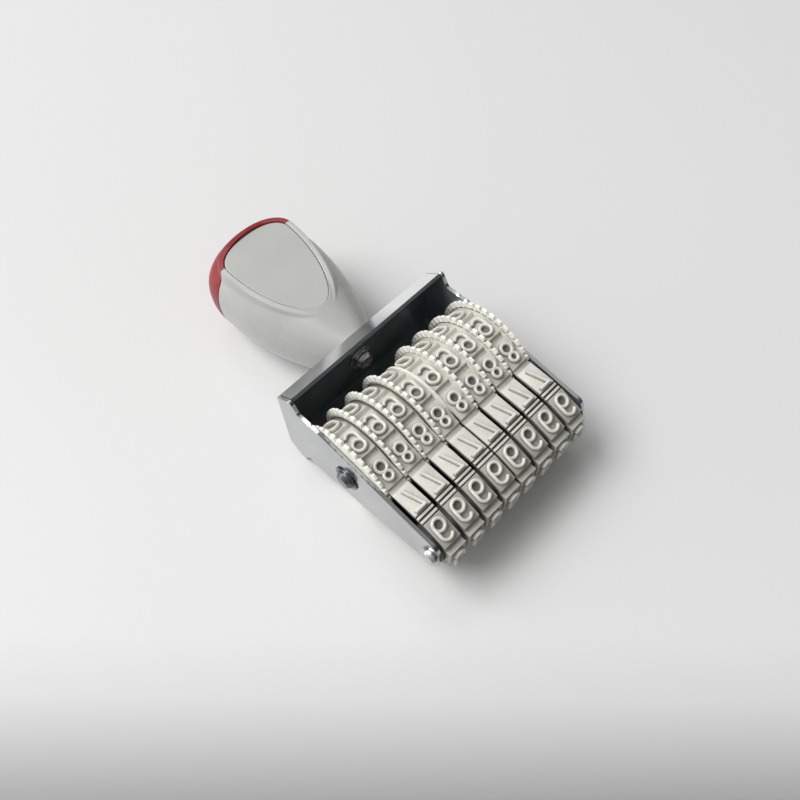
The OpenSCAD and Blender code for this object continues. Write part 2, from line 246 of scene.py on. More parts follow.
# painted shade: a dark, half-metal finish for the frame's inner faces, standing in for the dark interior
# the chrome mirrors
paintedShadeFinish = {
    "low": (0.15, 0.18, 0.195), "high": (0.22, 0.25, 0.262), "cloud": 160,
    "metal": 0.45, "rough": (0.12, 0.26),
}
sheetWave = {"scale": 70, "bump": (0.12, 0.0006)}
steelFinish = {
    "cloud": 500, "rings": 1800, "ringWay": (0.1, 1, 1), "rough": (0.16, 0.34), "bump": (0.15, 0.00005),
}
barFinish = {
    "low": (0.07, 0.07, 0.07), "high": (0.15, 0.15, 0.15), "cloud": 300, "metal": 0.8, "rough": 0.5,
    "bump": (0.2, 0.0001),
}
creamFinish = {
    "low": (0.86, 0.845, 0.765), "high": (0.92, 0.91, 0.84), "cloud": 320, "rough": (0.36, 0.5),
    # painted shade with dirt: darker towards the drum; painted shade: near black on the flange rims at the
    # gaps between wheels
    "shadeGrimeFrom": 0.0085, "shadeGrimeTo": 0.013,
    "shadeAndGrime": [(0.0, (0.78, 0.76, 0.72)), (0.35, (0.95, 0.945, 0.93)), (1.0, (1, 1, 1))],
    "gapShade": [(0.3, (1, 1, 1)), (1.0, (0.05, 0.048, 0.042))],
    "glow": (0.12, (1.0, 0.8, 0.6), 0.0006), "grain": 2600, "bump": (0.12, 0.00004),
}
rubberFinish = {
    "colours": [(0.28, (0.57, 0.56, 0.505)), (0.5, (0.64, 0.63, 0.58)), (0.75, (0.69, 0.68, 0.63))],
    "shadeAndGrime": [(0.0, (0.07, 0.068, 0.062)), (0.3, (0.36, 0.355, 0.335)), (0.62, (0.66, 0.655, 0.635)),
              (0.9, (0.96, 0.955, 0.945)), (1.0, (1, 1, 1))],
    "cloud": 260, "rough": (0.22, 0.34), "glow": (0.06, (1.0, 0.9, 0.8), 0.0004),
    "grain": 1500, "bump": (0.1, 0.00005),
}
glossFinish = {
    "cloud": 90, "smear": 240, "smearWay": (1, 0.4, 1), "coatRough": 0.08,
    "grain": 900, "bump": (0.06, 0.00005),
}


def rubbedLip(nodes, links, plain):
    # painted reflection: the lip's colour is made brighter towards its right end
    c = chromeFinish
    coord = nodes.new("ShaderNodeTexCoord")
    place = nodes.new("ShaderNodeSeparateXYZ")
    facing = nodes.new("ShaderNodeSeparateXYZ")
    links.new(coord.outputs["Object"], place.inputs["Vector"])
    links.new(coord.outputs["Normal"], facing.inputs["Vector"])
    along = mapValue(nodes, links, place.outputs["X"], c["reflectionStart"], c["reflectionEnd"], 0, 1)
    onLip = mapValue(nodes, links, facing.outputs["Z"], *c["lipFacing"], 0, 1)
    share = nodes.new("ShaderNodeMath")
    share.operation = "MULTIPLY"
    links.new(along, share.inputs[0])
    links.new(onLip, share.inputs[1])
    paintedReflection = nodes.new("ShaderNodeMix")
    paintedReflection.data_type = "RGBA"
    paintedReflection.inputs["B"].default_value = c["paintedReflection"]
    links.new(share.outputs["Value"], paintedReflection.inputs["Factor"])
    links.new(plain, paintedReflection.inputs["A"])
    return paintedReflection.outputs["Result"]


def addSheetWave(nodes, links, bsdf):
    wavy = objectNoise(nodes, links, sheetWave["scale"], 2)
    addBump(nodes, links, bsdf, wavy, *sheetWave["bump"])


def plateChrome():
    c = chromeFinish
    mat, nodes, links, bsdf = newFinish("plateChrome")
    bsdf.inputs["Metallic"].default_value = 1
    cloud = objectNoise(nodes, links, c["cloud"], 3)
    plain = tint(nodes, links, cloud, c["low"], c["high"])
    links.new(rubbedLip(nodes, links, plain), bsdf.inputs["Base Color"])
    scratch = objectNoise(nodes, links, c["scratch"], 6, c["scratchWay"])
    roughen(nodes, links, bsdf, scratch, c["rough"], c["scratchTop"])
    addSheetWave(nodes, links, bsdf)
    return mat


def plateInside():
    c = paintedShadeFinish
    mat, nodes, links, bsdf = newFinish("plateInside")
    bsdf.inputs["Metallic"].default_value = c["metal"]
    cloud = objectNoise(nodes, links, c["cloud"], 4)
    links.new(tint(nodes, links, cloud, c["low"], c["high"]), bsdf.inputs["Base Color"])
    roughen(nodes, links, bsdf, cloud, c["rough"])
    addSheetWave(nodes, links, bsdf)
    return mat


def turnedSteel(name, low, high):
    c = steelFinish
    mat, nodes, links, bsdf = newFinish(name)
    bsdf.inputs["Metallic"].default_value = 1
    cloud = objectNoise(nodes, links, c["cloud"], 3)
    links.new(tint(nodes, links, cloud, low, high), bsdf.inputs["Base Color"])
    rings = objectNoise(nodes, links, c["rings"], 2, c["ringWay"])
    roughen(nodes, links, bsdf, rings, c["rough"])
    addBump(nodes, links, bsdf, rings, *c["bump"])
    return mat


def dullBar():
    c = barFinish
    mat, nodes, links, bsdf = newFinish("dullBar")
    bsdf.inputs["Metallic"].default_value = c["metal"]
    cloud = objectNoise(nodes, links, c["cloud"], 5)
    links.new(tint(nodes, links, cloud, c["low"], c["high"]), bsdf.inputs["Base Color"])
    bsdf.inputs["Roughness"].default_value = c["rough"]
    addBump(nodes, links, bsdf, cloud, *c["bump"])
    return mat


def axleDistance(nodes, links):
    coord = nodes.new("ShaderNodeTexCoord")
    shift = vectorMath(nodes, "SUBTRACT", (0, axleY, axleZ))
    flatten = vectorMath(nodes, "MULTIPLY", (0, 1, 1))
    size = vectorMath(nodes, "LENGTH")
    links.new(coord.outputs["Object"], shift.inputs[0])
    links.new(shift.outputs["Vector"], flatten.inputs[0])
    links.new(flatten.outputs["Vector"], size.inputs[0])
    return size.outputs["Value"]


def creamPlastic():
    c = creamFinish
    mat, nodes, links, bsdf = newFinish("creamPlastic")
    cloud = objectNoise(nodes, links, c["cloud"], 4)
    colour = tint(nodes, links, cloud, c["low"], c["high"])
    # the handled tips are lighter than the drum between them: dirt and painted shade in the recess; the
    # flange rims at the gaps between wheels get painted shade
    far = mapValue(nodes, links, axleDistance(nodes, links), c["shadeGrimeFrom"], c["shadeGrimeTo"], 0, 1)
    colour = multiply(nodes, links, colour, ramp(nodes, links, far, c["shadeAndGrime"]))
    gapShade = ramp(nodes, links, pointValue(nodes, "seam"), c["gapShade"])
    links.new(multiply(nodes, links, colour, gapShade), bsdf.inputs["Base Color"])
    roughen(nodes, links, bsdf, cloud, c["rough"])
    softenLight(bsdf, *c["glow"])
    addBump(nodes, links, bsdf, objectNoise(nodes, links, c["grain"], 3), *c["bump"])
    return mat


def bandRubber():
    c = rubberFinish
    mat, nodes, links, bsdf = newFinish("bandRubber")
    cloud = objectNoise(nodes, links, c["cloud"], 5)
    colour = ramp(nodes, links, cloud, c["colours"])
    # painted shade and highlight, with some ink: the marks on the band darken or lighten the rubber
    shadeAndGrime = ramp(nodes, links, pointValue(nodes, "height"), c["shadeAndGrime"])
    links.new(multiply(nodes, links, colour, shadeAndGrime), bsdf.inputs["Base Color"])
    roughen(nodes, links, bsdf, cloud, c["rough"])
    softenLight(bsdf, *c["glow"])
    addBump(nodes, links, bsdf, objectNoise(nodes, links, c["grain"], 4), *c["bump"])
    return mat


def glossPlastic(name, low, high, rough, coat):
    c = glossFinish
    mat, nodes, links, bsdf = newFinish(name)
    cloud = objectNoise(nodes, links, c["cloud"], 4)
    links.new(tint(nodes, links, cloud, low, high), bsdf.inputs["Base Color"])
    smear = objectNoise(nodes, links, c["smear"], 5, c["smearWay"])
    roughen(nodes, links, bsdf, smear, rough)
    bsdf.inputs["Coat Weight"].default_value = coat
    bsdf.inputs["Coat Roughness"].default_value = c["coatRough"]
    addBump(nodes, links, bsdf, objectNoise(nodes, links, c["grain"], 3), *c["bump"])
    return mat


chrome = plateChrome()
# painted shade: dark finish for the inner faces of the frame
paintedShadeInside = plateInside()
steel = turnedSteel("turnedSteel", (0.46, 0.46, 0.46), (0.66, 0.66, 0.65))
# painted reflection: a dark steel colour standing in for the dark surroundings the axle ends mirror
darkReflectionSteel = turnedSteel("darkReflectionSteel", (0.08, 0.085, 0.09), (0.20, 0.21, 0.22))
barMetal = dullBar()
cream = creamPlastic()
rubber = bandRubber()
greyPlastic = glossPlastic("greyPlastic", (0.385, 0.385, 0.37), (0.42, 0.42, 0.405), (0.18, 0.3), 0.1)
panelPlastic = glossPlastic("panelPlastic", (0.385, 0.39, 0.365), (0.415, 0.42, 0.395), (0.42, 0.55), 0.05)
redPlastic = glossPlastic("redPlastic", (0.20, 0.006, 0.010), (0.245, 0.008, 0.014), (0.3, 0.42), 0.0)
print("finishes made")


# frame sheet

sheetFrame = {
    "edge": 0.13 * mm, "segments": 2, "edgeAngle": 40, "sheet": 0.8 * mm, "bend": 0.6 * mm,
    "facing": 0.3, "roofFacing": 0.2,
}


def facesInside(place, normal):
    # inner sides of the plates, the roof, the bends and the sloping lips; these get the dark finish that
    # paints the shade inside the frame
    s = sheetFrame
    side = math.copysign(1, place.x)
    depth = math.copysign(1, place.z - axleZ)
    inRoof = abs(place.x) < plateX - s["sheet"] - s["bend"]
    if inRoof:
        onLip = normal.y < s["facing"] and normal.z * depth < -s["facing"]
        return normal.y < -s["roofFacing"] or onLip
    return normal.x * side < -s["facing"]


def makeFrame():
    obj = solidCopy("frame", "frameSheet", chrome)
    obj.data.materials.append(paintedShadeInside)
    # painted shade: the inner faces take the dark finish
    for poly in obj.data.polygons:
        poly.material_index = 1 if facesInside(poly.center, poly.normal) else 0
    softenEdges(obj, sheetFrame["edge"], sheetFrame["segments"], sheetFrame["edgeAngle"])
    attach(obj, "frame")
    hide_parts("frame")


makeFrame()
print("frame sheet made")


# thumb wheels

# a tooth row is a radius, half the width as a share of the tooth pitch, and the inset of the flat sides
thumbWheel = {
    "count": 8, "pitch": 5.4, "width": 5.3, "drum": 8.85, "hub": 2.06,
    "gear": 0.66, "root": 11.75, "teeth": 40, "toothSharp": 50,
    "toothRows": [(11.4, 0.43, 0), (11.8, 0.4, 0), (12.88, 0.3, 0), (12.98, 0.24, 0.06)],
    "flange": 0.2, "flangeRadius": 11.4, "edge": 0.06, "fillet": 0.02, "steps": 120, "sharp": 40,
    "clean": (4, 5),
}


def wheelX(k):
    return (k - (thumbWheel["count"] + 1) / 2) * thumbWheel["pitch"]


def wheelFlip(k):
    return k > thumbWheel["count"] / 2


def toothMesh():
    # one tooth of the thumb gear standing along +X, its thickness along Z
    w = thumbWheel
    pitch = 2 * math.pi / w["teeth"]
    verts, faces = [], []
    for radius, half, inset in w["toothRows"]:
        across = radius * pitch * half
        low, high = inset, w["gear"] - inset
        for y, z in ((-across, low), (across, low), (across, high), (-across, high)):
            verts.append((radius * mm, y * mm, z * mm))
    for a in range(0, len(verts) - 4, 4):
        for i in range(4):
            k = (i + 1) % 4
            faces.append((a + i, a + k, a + 4 + k, a + 4 + i))
    faces.append(tuple(range(len(verts) - 4, len(verts))))
    mesh = bpy.data.meshes.new("gearTooth")
    mesh.from_pydata(verts, [], faces)
    cleanMesh(mesh, w["toothSharp"])
    return mesh


def wheelTree():
    # rings one tooth round the wheel and joins it to the turned body
    tree = bpy.data.node_groups.new("thumbGear", "GeometryNodeTree")
    sockets = (("Body", "Geometry"), ("Tooth", "Object"), ("Teeth", "Int"), ("Place", "Vector"),
               ("Turn", "Vector"), ("Finish", "Material"))
    for name, kind in sockets:
        tree.interface.new_socket(name, in_out="INPUT", socket_type="NodeSocket" + kind)
    tree.interface.new_socket("Wheel", in_out="OUTPUT", socket_type="NodeSocketGeometry")
    nodes, links = tree.nodes, tree.links
    inputs = nodes.new("NodeGroupInput")
    output = nodes.new("NodeGroupOutput")
    info = nodes.new("GeometryNodeObjectInfo")
    points = nodes.new("GeometryNodeMeshCircle")
    points.inputs["Radius"].default_value = 1e-6
    index = nodes.new("GeometryNodeInputIndex")
    share = nodes.new("ShaderNodeMath")
    share.operation = "DIVIDE"
    angle = nodes.new("ShaderNodeMath")
    angle.operation = "MULTIPLY"
    angle.inputs[1].default_value = 2 * math.pi
    spin = nodes.new("ShaderNodeCombineXYZ")
    place = nodes.new("GeometryNodeInstanceOnPoints")
    real = nodes.new("GeometryNodeRealizeInstances")
    move = nodes.new("GeometryNodeTransform")
    join = nodes.new("GeometryNodeJoinGeometry")
    paint = nodes.new("GeometryNodeSetMaterial")
    links.new(inputs.outputs["Tooth"], info.inputs["Object"])
    links.new(inputs.outputs["Teeth"], points.inputs["Vertices"])
    links.new(index.outputs["Index"], share.inputs[0])
    links.new(inputs.outputs["Teeth"], share.inputs[1])
    links.new(share.outputs["Value"], angle.inputs[0])
    links.new(angle.outputs["Value"], spin.inputs["Z"])
    links.new(points.outputs["Mesh"], place.inputs["Points"])
    links.new(info.outputs["Geometry"], place.inputs["Instance"])
    links.new(spin.outputs["Vector"], place.inputs["Rotation"])
    links.new(place.outputs["Instances"], real.inputs["Geometry"])
    links.new(real.outputs["Geometry"], move.inputs["Geometry"])
    links.new(inputs.outputs["Place"], move.inputs["Translation"])
    links.new(inputs.outputs["Turn"], move.inputs["Rotation"])
    links.new(move.outputs["Geometry"], join.inputs["Geometry"])
    links.new(inputs.outputs["Body"], join.inputs["Geometry"])
    links.new(join.outputs["Geometry"], paint.inputs["Geometry"])
    links.new(inputs.outputs["Finish"], paint.inputs["Material"])
    links.new(paint.outputs["Geometry"], output.inputs["Wheel"])
    return tree


def setInputs(modifier, tree, values):
    for item in tree.interface.items_tree:
        if item.in_out == "INPUT" and item.name in values:
            modifier[item.identifier] = values[item.name]


def wheelProfile():
    # closed outline of a wheel without its teeth, as (along X, radius)
    w = thumbWheel
    e, f = w["edge"], w["fillet"]
    hub, root, drum, rim = w["hub"], w["root"], w["drum"], w["flangeRadius"]
    left, right, end = w["gear"], w["width"] - w["flange"], w["width"]
    return [
        (0, hub), (0, root - e), (e, root), (left - e, root), (left, root - e),
        (left, drum + f), (left + f, drum), (right - f, drum), (right, drum + f),
        (right, rim - e), (right + e, rim), (end - e, rim), (end, rim - e), (end, hub), (0, hub),
    ]


def markSeam(mesh, start, k):
    # painted shade: the rim of a flange that runs against the next gear is darkened for the dark gap
    # between wheels; the two flanges in the middle are left light
    w = thumbWheel
    flangeStart = w["width"] - w["flange"] - w["fillet"] / 2
    rimStart = (w["drum"] + w["flangeRadius"]) / 2
    layer = mesh.attributes.new("seam", "FLOAT", "POINT")
    for vert, value in zip(mesh.vertices, layer.data):
        deep = abs(vert.co.x - start[0]) / mm
        far = math.hypot(vert.co.y - axleY, vert.co.z - axleZ) / mm
        value.value = 1 if deep > flangeStart and far > rimStart and k not in w["clean"] else 0


def makeWheels():
    w = thumbWheel
    tooth = bpy.data.objects.new("gearTooth", toothMesh())
    bpy.context.scene.collection.objects.link(tooth)
    tree = wheelTree()
    for k in range(1, w["count"] + 1):
        flip = wheelFlip(k)
        side = 1 if flip else -1
        start = (wheelX(k) * mm + side * w["width"] / 2 * mm, axleY, axleZ)
        verts, faces = turned(wheelProfile(), w["steps"], start, flip)
        obj = addPiece("thumbWheel" + str(k), verts, faces, cream)
        markSeam(obj.data, start, k)
        modifier = obj.modifiers.new("thumbGear", "NODES")
        modifier.node_group = tree
        turn = (0, math.radians(-90 if flip else 90), 0)  # lays the ring of teeth across X
        setInputs(modifier, tree, {
            "Tooth": tooth, "Teeth": w["teeth"], "Place": start, "Turn": turn, "Finish": cream,
        })
        bakeModifiers(obj)
        shadeByAngle(obj.data, w["sharp"])
        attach(obj, "wheel_" + str(k))
        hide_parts("wheel_" + str(k))
    bpy.data.objects.remove(tooth)


makeWheels()
print("thumb wheels made")


# number bands

# marks run from 0, dark, to 1, light: painted shade with some ink in the grooves and at the feet of the
# digits, painted shade on the nose pads, painted highlight on the ribs and on the pad after them
numberBand = {
    "width": 4.36, "shift": 0.23, "inner": 9.0, "web": 0.85, "chord": 2.4, "sway": 0.45, "innerShare": 0.9,
    "pads": 12, "pad": 1.25, "padHalf": 3.25, "padShort": 2.8, "padSlope": 0.2,
    "rib": 0.5, "ribDrop": 0.1, "ribGap": 1, "edge": 0.09, "edgeAngle": 30, "sharp": 40,
    "noseIn": 46.15, "noseRadius": 4.0, "noseFlat": 0.4, "axle": 20.2008,
    "digit": 0.95, "stroke": 0.8, "arcRadius": 1.3, "arcPlace": 1.05,
    "wheelMarks": (0.62, 0.76), "noseMarks": (0.5, 0.56),
    "highlightMark": 0.9, "footShadeInkMark": 0.2, "counterShadeMark": 0.16,
}
# rounded ends of an open stroke: parts above split are lower and reach less far than its foot
strokeEnd = {
    "reach": 0.12, "shrink": 0.82, "split": 0.3, "topReach": 0.1, "footReach": 0.19, "tall": 0.86,
}


def bandPath():
    # the nose's centre, the lean of the run, and lengths along the pad line to the end of the nose turn,
    # to the end of the run and to half the loop
    b = numberBand
    noseY = b["noseIn"] - b["noseRadius"]
    runY = noseY - b["axle"]
    centres = math.hypot(runY, b["noseFlat"])
    lean = math.asin((b["inner"] - b["noseRadius"]) / centres) - math.atan2(b["noseFlat"], runY)
    run = math.sqrt(centres ** 2 - (b["inner"] - b["noseRadius"]) ** 2)
    turnEnd = b["noseFlat"] + (b["noseRadius"] + b["pad"]) * (math.pi / 2 - lean)
    runEnd = turnEnd + run
    half = runEnd + (b["inner"] + b["pad"]) * (math.pi / 2 + lean)
    return noseY, lean, turnEnd, runEnd, half


noseY, runLean, turnEnd, runEnd, halfLoop = bandPath()
padPitch = 2 * halfLoop / numberBand["pads"]


def wave(s):
    # the slack run stands out a little after the nose and dips before the wheel
    if padPitch < s < 3 * padPitch:
        return -numberBand["sway"] * math.sin(math.pi * (s / padPitch - 2))
    return 0


def loopPoint(s, t):
    # point s along the pad line from the middle of the print face and t outside the inner face,
    # as (Y, Z) in mm
    b = numberBand
    if s > halfLoop:
        s -= 2 * halfLoop
    if s < -halfLoop:
        s += 2 * halfLoop
    d = abs(s)
    if d < b["noseFlat"]:
        y, z = -b["noseIn"] - t, d
    elif d < runEnd:
        a = math.pi - (min(d, turnEnd) - b["noseFlat"]) / (b["noseRadius"] + b["pad"])
        more = max(0, d - turnEnd)
        r = b["noseRadius"] + t + wave(d)
        y = -noseY + r * math.cos(a) + more * math.cos(runLean)
        z = b["noseFlat"] + r * math.sin(a) + more * math.sin(runLean)
    else:
        a = math.pi / 2 + runLean - (d - runEnd) / (b["inner"] + b["pad"])
        y, z = -b["axle"] + (b["inner"] + t) * math.cos(a), (b["inner"] + t) * math.sin(a)
    return Vector((y, -z if s < 0 else z))


def loopFrame(s):
    # a place on the pad line, the way along it and the way out of the loop
    b = numberBand
    way = (loopPoint(s + b["chord"], b["pad"]) - loopPoint(s - b["chord"], b["pad"])).normalized()
    return loopPoint(s, b["pad"]), way, Vector((-way.y, way.x))


def loopBlock(s, before, after, drop, slope):
    # outline of one raised block and the matching points of the inner face
    place, way, out = loopFrame(s)
    web = numberBand["web"]
    top = place - out * drop
    first, last = -before - slope, after + slope
    outer = [loopPoint(s + first, web), top - way * before, top,
             top + way * after, loopPoint(s + last, web)]
    share = numberBand["innerShare"]
    inner = [loopPoint(s + u, 0) for u in (first, -share * before, 0, share * after, last)]
    return outer, inner


def bandBlocks(i):
    # place, reach before and after it, drop and slope of one pad, and of the two ribs if they follow it
    b = numberBand
    before = b["padShort"] if i == b["ribGap"] + 1 else b["padHalf"]
    after = b["padShort"] if i == b["ribGap"] else b["padHalf"]
    blocks = [(i * padPitch, before, after, 0, b["padSlope"])]
    if i == b["ribGap"]:
        half = b["rib"] / 2
        for side in (-1, 1):
            blocks.append(((i + 0.5) * padPitch + side * b["rib"], half, half, b["ribDrop"], 0))
    return blocks


def digitStrokes(d):
    # centre lines of a digit in mm, upright; a closed line ends where it starts
    r, c = numberBand["arcRadius"], numberBand["arcPlace"]
    top = c + r

    def arc(x, y, radius, a0, a1, n=14):
        return [(x + radius * math.cos(math.radians(a0 + (a1 - a0) * i / n)),
                 y + radius * math.sin(math.radians(a0 + (a1 - a0) * i / n))) for i in range(n + 1)]

    if d == 0:
        line = arc(0, c, r, 0, 180) + arc(0, -c, r, 180, 360)
        return [line + line[:1]]
    if d == 1:
        return [[(0.3, -top), (0.3, top)], [(-0.8, 1.3), (0.3, top)]]
    if d == 2:
        return [arc(0, c, r, 170, -38) + [(-1.05, -top + 0.1)], [(-1.25, -top), (1.25, -top)]]
    if d == 3:
        return [arc(0, 1.25, 0.95, 160, -90), arc(0, -0.97, 1.23, 90, -160)]
    if d == 4:
        return [[(0.5, -top), (0.5, top)], [(0.5, top), (-1.35, -0.95)], [(-1.45, -1), (1.45, -1)]]
    if d == 5:
        return [[(1.2, top), (-0.95, top), (-1, 0.15)], arc(-0.1, -0.85, 1.35, 132, -145)]
    if d == 6:
        return [arc(0, -c, r, 0, 360, 24), [(-r, -c)] + arc(0, c, r, 180, 35)]
    if d == 7:
        return [[(-1.25, top), (1.2, top)], [(1.1, top), (-0.3, -top)]]
    if d == 8:
        return [arc(0, 1.25, 0.95, 0, 360, 22), arc(0, -0.97, 1.23, 0, 360, 24)]
    return [[(-x, -y) for x, y in line] for line in digitStrokes(6)]


def strokeSection():
    # soft-topped cross-section of a stroke as (across, height)
    h, tall = numberBand["stroke"] / 2, numberBand["digit"]
    half = [(h + 0.06, -0.08), (h, 0.1), (h - 0.05, 0.72 * tall), (h - 0.16, 0.96 * tall)]
    return [(-u, v) for u, v in half] + [(0, tall)] + half[::-1]


def strokeRows(line):
    # the section swept along a centre line; returns rows of (x, y, height) and if it closes
    t = strokeEnd
    section = strokeSection()
    closed = (Vector(line[0]) - Vector(line[-1])).length < 1e-6
    pts = [Vector(p) for p in line]
    if closed:
        pts = pts[:-1]
    pts = [p for i, p in enumerate(pts) if i == 0 or (p - pts[i - 1]).length > 1e-4]
    count = len(pts)
    rows = []
    for i, p in enumerate(pts):
        before = pts[i - 1] if i or closed else None
        after = pts[(i + 1) % count] if i < count - 1 or closed else None
        d1 = (p - before).normalized() if before else (after - p).normalized()
        d2 = (after - p).normalized() if after else d1
        n1, n2 = Vector((-d1.y, d1.x)), Vector((-d2.y, d2.x))
        n = (n1 + n2).normalized()
        reach = 1 / max(0.5, n.dot(n1))
        end = Vector((0, 0))
        if not closed and i == 0:
            end = -d2 * t["reach"]
        if not closed and i == count - 1:
            end = d1 * t["reach"]
        rows.append([(*(p + end + n * (u * reach)), v) for u, v in section])
    if not closed:
        first, last = (pts[1] - pts[0]).normalized(), (pts[-1] - pts[-2]).normalized()
        rows = [tipRow(rows[0], -first)] + rows + [tipRow(rows[-1], last)]
    return rows, closed


def tipRow(row, way):
    # a lower, narrower row just outside the end of a stroke
    t = strokeEnd
    mid = Vector(row[len(row) // 2][:2])
    tip = []
    for x, y, v in row:
        high = v > t["split"]
        q = mid + (Vector((x, y)) - mid) * t["shrink"] + way * (t["topReach"] if high else t["footReach"])
        tip.append((*q, v * t["tall"] if high else v))
    return tip


def makeBands():
    b = numberBand
    for k in range(1, thumbWheel["count"] + 1):
        middle = wheelX(k) + (-b["shift"] if wheelFlip(k) else b["shift"])
        outer, inner = [], []
        for i in range(1 - b["pads"] // 2, b["pads"] // 2 + 1):
            for block in bandBlocks(i):
                o, n = loopBlock(*block)
                outer += o
                inner += n
        count = len(outer)
        verts, faces = [], []
        for ring in (outer, inner):
            for x in (-b["width"] / 2, b["width"] / 2):
                verts += [((middle + x) * mm, roofY + p.x * mm, axleZ + p.y * mm) for p in ring]
        for i in range(count):
            j = (i + 1) % count
            # the same two points on the outer left, outer right, inner left and inner right rims
            (a, b1), (c, d), (e, f), (g, h) = [(n * count + i, n * count + j) for n in range(4)]
            faces += [(a, b1, d, c), (e, g, h, f), (a, e, f, b1), (c, d, h, g)]
        obj = addPiece("numberBand" + str(k), verts, faces, rubber)
        markHeight(obj.data)
        softenEdges(obj, b["edge"] * mm, 2, b["edgeAngle"])
        addDigits(obj, middle)
        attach(obj, "frame")
        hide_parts("band_" + str(k))


def markHeight(mesh):
    # painted shade between the ribs, painted highlight on them and on the next pad;
    # pads at the nose get painted shade and are darker than those on the wheel
    b = numberBand
    marks = {}
    for i in range(1 - b["pads"] // 2, b["pads"] // 2 + 1):
        plain, padTop = b["wheelMarks"] if i > b["ribGap"] else b["noseMarks"]
        for n, block in enumerate(bandBlocks(i)):
            afterRibs = n > 0 or i == b["ribGap"] + 1
            beforeRibs = n > 0 or i == b["ribGap"]
            top = b["highlightMark"] if afterRibs else padTop
            values = (0 if afterRibs else plain, top, top, top, 0 if beforeRibs else plain)
            for q, mark in zip(loopBlock(*block)[0], values):
                marks[(round(roofY / mm + q.x, 2), round(axleZ / mm + q.y, 2))] = mark
    layer = mesh.attributes.new("height", "FLOAT", "POINT")
    for vert, value in zip(mesh.vertices, layer.data):
        value.value = marks.get((round(vert.co.y / mm, 2), round(vert.co.z / mm, 2)), 0)


def fillCounter(bm, grid, height):
    # painted shade: a dark sheet on the floor inside a closed stroke
    points = [vert.co for row in grid for vert in row]
    centre = sum(points, Vector()) / len(points)
    shadeSheet = []
    for row in grid:
        nearest = min((row[1].co, row[-2].co), key=lambda q: (q - centre).length)
        shadeSheet.append(bm.verts.new(nearest))
        shadeSheet[-1][height] = numberBand["counterShadeMark"]
    bm.faces.new(shadeSheet)


def addDigits(obj, middle):
    b = numberBand
    bm = bmesh.new()
    bm.from_mesh(obj.data)
    height = bm.verts.layers.float["height"]
    for i in range(2 - b["pads"] // 2, b["pads"] // 2):
        place, way, out = loopFrame(i * padPitch)
        for line in digitStrokes((i + 5) % 10):
            rows, closed = strokeRows(line)
            grid = []
            for row in rows:
                made = []
                for x, y, v in row:
                    # the digit's top points against the way, so it prints upright
                    p = place - way * y + out * v
                    made.append(bm.verts.new(((middle + x) * mm, roofY + p.x * mm, axleZ + p.y * mm)))
                    # painted shade with some ink: darker towards the foot of each stroke
                    made[-1][height] = b["footShadeInkMark"] + (1 - b["footShadeInkMark"]) * max(0, v / b["digit"])
                grid.append(made)
            steps = len(grid) if closed else len(grid) - 1
            for j in range(steps):
                low, high = grid[j], grid[(j + 1) % len(grid)]
                for c in range(len(low) - 1):
                    bm.faces.new((low[c], high[c], high[c + 1], low[c + 1]))
            if closed:
                fillCounter(bm, grid, height)
            else:
                bm.faces.new(grid[0])
                bm.faces.new(list(reversed(grid[-1])))
    bmesh.ops.recalc_face_normals(bm, faces=bm.faces)
    bm.to_mesh(obj.data)
    bm.free()
    shadeByAngle(obj.data, b["sharp"])


makeBands()
print("number bands made")


# handle

# a seam row is its distance from the seam and its share of the seam's depth
handleShape = {
    "bodyLength": 31.8, "length": 39.0, "neckX": 5.0, "wideX": 13.4, "neckZ": 7.6, "deepZ": 12.9,
    "fullAt": 0.86, "powerX": 0.78, "powerZ": 1.25, "roundness": 2.3, "sideSteps": 46, "widest": 0.985,
    "capX": 0.27, "capZ": 0.32, "capTurn": 89, "seam": 0.14, "seamGap": 0.04,
    "collar": 1.5, "collarTall": 0.16, "collarSoft": 0.4, "lipRound": 0.2,
    "bodyRows": 90, "capRows": 70, "closeRow": 0.07, "tipLead": 2.5, "tipRows": 60, "tipFine": 0.4,
    "tipFineRows": 8, "endLead": 0.6, "endRows": 42, "bodyClear": 0.2, "capClear": 0.12, "sharp": 50,
    "seamRows": ((0.16, 0), (0.05, 0.3), (0, 1)),
}
handlePanel = {
    "tip": 9.699, "low": 9.2, "tilt": 5.2, "halfWidth": 9.112, "wide": 21.101, "end": 26.101,
    "tipPower": 0.48, "endPower": 2.2, "tipSteps": 60, "endSteps": 60,
    "thick": 0.98, "inset": 0.06, "edge": 0.3, "edgeSteps": 4, "edgeAngle": 50,
}
panelTurn = math.radians(handlePanel["tilt"])


def growTo(y, length, low, high, power):
    return low + (high - low) * math.sin(math.pi / 2 * min(1, max(0, y / length))) ** power


def bodySize(y):
    h = handleShape
    return (growTo(y, h["fullAt"] * h["bodyLength"], h["neckX"], h["wideX"], h["powerX"]),
            growTo(y, h["bodyLength"], h["neckZ"], h["deepZ"], h["powerZ"]))


def panelHalf(v):
    # half width of the tongue-shaped panel, v from its tip
    p = handlePanel
    if v < p["wide"]:
        return p["halfWidth"] * math.sin(math.pi / 2 * v / p["wide"]) ** p["tipPower"]
    share = (v - p["wide"]) / (p["end"] - p["wide"])
    return p["halfWidth"] * max(0, 1 - share ** p["endPower"]) ** (1 / p["endPower"])


